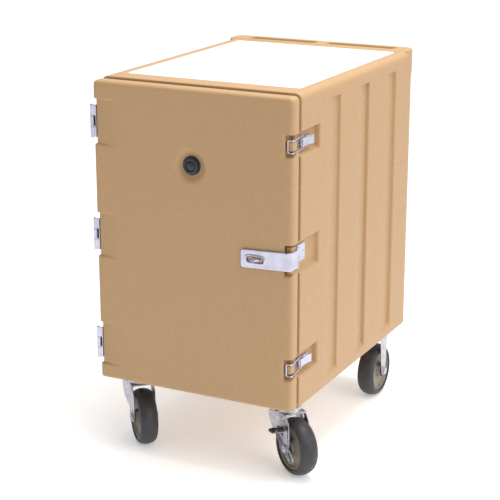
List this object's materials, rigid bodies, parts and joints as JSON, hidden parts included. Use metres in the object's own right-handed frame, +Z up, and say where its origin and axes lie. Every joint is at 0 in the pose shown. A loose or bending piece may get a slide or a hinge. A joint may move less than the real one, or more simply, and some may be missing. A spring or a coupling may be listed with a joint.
{
  "type": "insulated food carrier",
  "caption": "Tall insulated cabinet on casters, with a hinged front door, toggle latches, a padlock hasp, a vent cap and pan ledges inside.",
  "frame": {"origin": "on the floor, under the middle of the cabinet's body", "axes": "+Z up, +Y from the door towards the back, +X to the right when facing the door"},
  "size_m": [0.6168, 0.824, 1.009],
  "materials": {
    "tan_polyethylene": "fine orange-peel texture",
    "foam": "rigid cellular foam",
    "white_board": "satin",
    "stainless_steel": "bright, lightly brushed",
    "zinc_plate": "dull zinc plate",
    "black_plastic": "satin",
    "black_rubber": "matt",
    "grey_tyre": "satin",
    "taupe_plastic": "satin"
  },
  "bodies": {
    "cabinet": {"cabinet_shell": "tan_polyethylene", "cabinet_foam": "foam", "cabinet_foam_plug": "tan_polyethylene", "work_surface": "white_board", "top_hinge_body_leaf": "stainless_steel", "top_hinge_rivets": "stainless_steel", "top_hinge_pin": "stainless_steel", "middle_hinge_body_leaf": "stainless_steel", "middle_hinge_rivets": "stainless_steel", "middle_hinge_pin": "stainless_steel", "bottom_hinge_body_leaf": "stainless_steel", "bottom_hinge_rivets": "stainless_steel", "bottom_hinge_pin": "stainless_steel", "upper_latch_base": "stainless_steel", "upper_latch_rivets": "stainless_steel", "lower_latch_base": "stainless_steel", "lower_latch_rivets": "stainless_steel", "hasp_body_leaf": "stainless_steel", "hasp_rivets": "stainless_steel", "hasp_pin": "stainless_steel", "front_left_caster_plate": "zinc_plate", "front_right_caster_plate": "zinc_plate", "rear_left_caster_plate": "zinc_plate", "rear_left_caster_fork": "zinc_plate", "rear_left_caster_axle": "zinc_plate", "rear_right_caster_plate": "zinc_plate", "rear_right_caster_fork": "zinc_plate", "rear_right_caster_axle": "zinc_plate"},
    "door": {"door_shell": "tan_polyethylene", "door_foam": "foam", "door_foam_plug": "tan_polyethylene", "door_gasket": "black_rubber", "hasp_staple": "stainless_steel", "vent_sleeve": "black_plastic", "top_hinge_door_leaf": "stainless_steel", "middle_hinge_door_leaf": "stainless_steel", "bottom_hinge_door_leaf": "stainless_steel"},
    "vent_cap": {"vent_cap": "black_plastic"},
    "upper_latch_lever": {"upper_latch_lever": "stainless_steel"},
    "upper_latch_bail": {"upper_latch_bail": "stainless_steel"},
    "lower_latch_lever": {"lower_latch_lever": "stainless_steel"},
    "lower_latch_bail": {"lower_latch_bail": "stainless_steel"},
    "hasp_strap": {"hasp_strap": "stainless_steel"},
    "front_left_fork": {"front_left_caster_fork": "zinc_plate", "front_left_caster_axle": "zinc_plate"},
    "front_right_fork": {"front_right_caster_fork": "zinc_plate", "front_right_caster_axle": "zinc_plate"},
    "brake": {"brake_lever": "zinc_plate", "brake_lock_pad": "black_rubber", "brake_release_pad": "black_rubber"},
    "front_left_wheel": {"front_left_wheel_core": "taupe_plastic", "front_left_wheel_tyre": "grey_tyre"},
    "front_right_wheel": {"front_right_wheel_core": "taupe_plastic", "front_right_wheel_tyre": "grey_tyre"},
    "rear_left_wheel": {"rear_left_wheel_core": "taupe_plastic", "rear_left_wheel_tyre": "grey_tyre"},
    "rear_right_wheel": {"rear_right_wheel_core": "taupe_plastic", "rear_right_wheel_tyre": "grey_tyre"}
  },
  "joints": [
    {"name": "door_swing", "type": "hinge", "parent": "cabinet", "child": "door", "pos_m": [-0.2855, -0.3865, 0.597], "axis": [0, 0, -1], "range_deg": [0, 265]},
    {"name": "vent_cap_turn", "type": "hinge", "parent": "door", "child": "vent_cap", "pos_m": [0, -0.382, 0.807], "axis": [0, -1, 0], "range_deg": [0, 90]},
    {"name": "upper_latch_lever_swing", "type": "hinge", "parent": "cabinet", "child": "upper_latch_lever", "pos_m": [0.2705, -0.326, 0.881], "axis": [0, 0, -1], "range_deg": [0, 120]},
    {"name": "upper_latch_bail_swing", "type": "hinge", "parent": "upper_latch_lever", "child": "upper_latch_bail", "pos_m": [0.2703, -0.314, 0.881], "axis": [0, 0, -1], "range_deg": [-168, 0]},
    {"name": "lower_latch_lever_swing", "type": "hinge", "parent": "cabinet", "child": "lower_latch_lever", "pos_m": [0.2705, -0.326, 0.313], "axis": [0, 0, -1], "range_deg": [0, 120]},
    {"name": "lower_latch_bail_swing", "type": "hinge", "parent": "lower_latch_lever", "child": "lower_latch_bail", "pos_m": [0.2703, -0.314, 0.313], "axis": [0, 0, -1], "range_deg": [-168, 0]},
    {"name": "hasp_swing", "type": "hinge", "parent": "cabinet", "child": "hasp_strap", "pos_m": [0.2743, -0.352, 0.599], "axis": [0, 0, 1], "range_deg": [0, 160]},
    {"name": "front_left_swivel", "type": "hinge", "parent": "cabinet", "child": "front_left_fork", "pos_m": [-0.224, -0.283, 0.16], "axis": [0, 0, 1], "continuous": true},
    {"name": "front_right_swivel", "type": "hinge", "parent": "cabinet", "child": "front_right_fork", "pos_m": [0.224, -0.283, 0.16], "axis": [0, 0, 1], "continuous": true},
    {"name": "front_left_wheel_spin", "type": "hinge", "parent": "front_left_fork", "child": "front_left_wheel", "pos_m": [-0.19621, -0.31177, 0.076], "axis": [0.7193, 0.6947, 0], "continuous": true},
    {"name": "front_right_wheel_spin", "type": "hinge", "parent": "front_right_fork", "child": "front_right_wheel", "pos_m": [0.25716, -0.30537, 0.076], "axis": [0.5592, 0.829, 0], "continuous": true},
    {"name": "rear_left_wheel_spin", "type": "hinge", "parent": "cabinet", "child": "rear_left_wheel", "pos_m": [-0.224, 0.297, 0.076], "axis": [1, 0, 0], "continuous": true},
    {"name": "rear_right_wheel_spin", "type": "hinge", "parent": "cabinet", "child": "rear_right_wheel", "pos_m": [0.224, 0.297, 0.076], "axis": [1, 0, 0], "continuous": true},
    {"name": "brake_press", "type": "hinge", "parent": "front_right_fork", "child": "brake", "pos_m": [0.25716, -0.30537, 0.076], "axis": [-0.5592, -0.829, 0], "range_deg": [0, 15]}
  ],
  "couplings": [
    {"joint": "upper_latch_bail_swing", "follows": "upper_latch_lever_swing", "ratio": -1.4},
    {"joint": "lower_latch_bail_swing", "follows": "lower_latch_lever_swing", "ratio": -1.4}
  ]
}
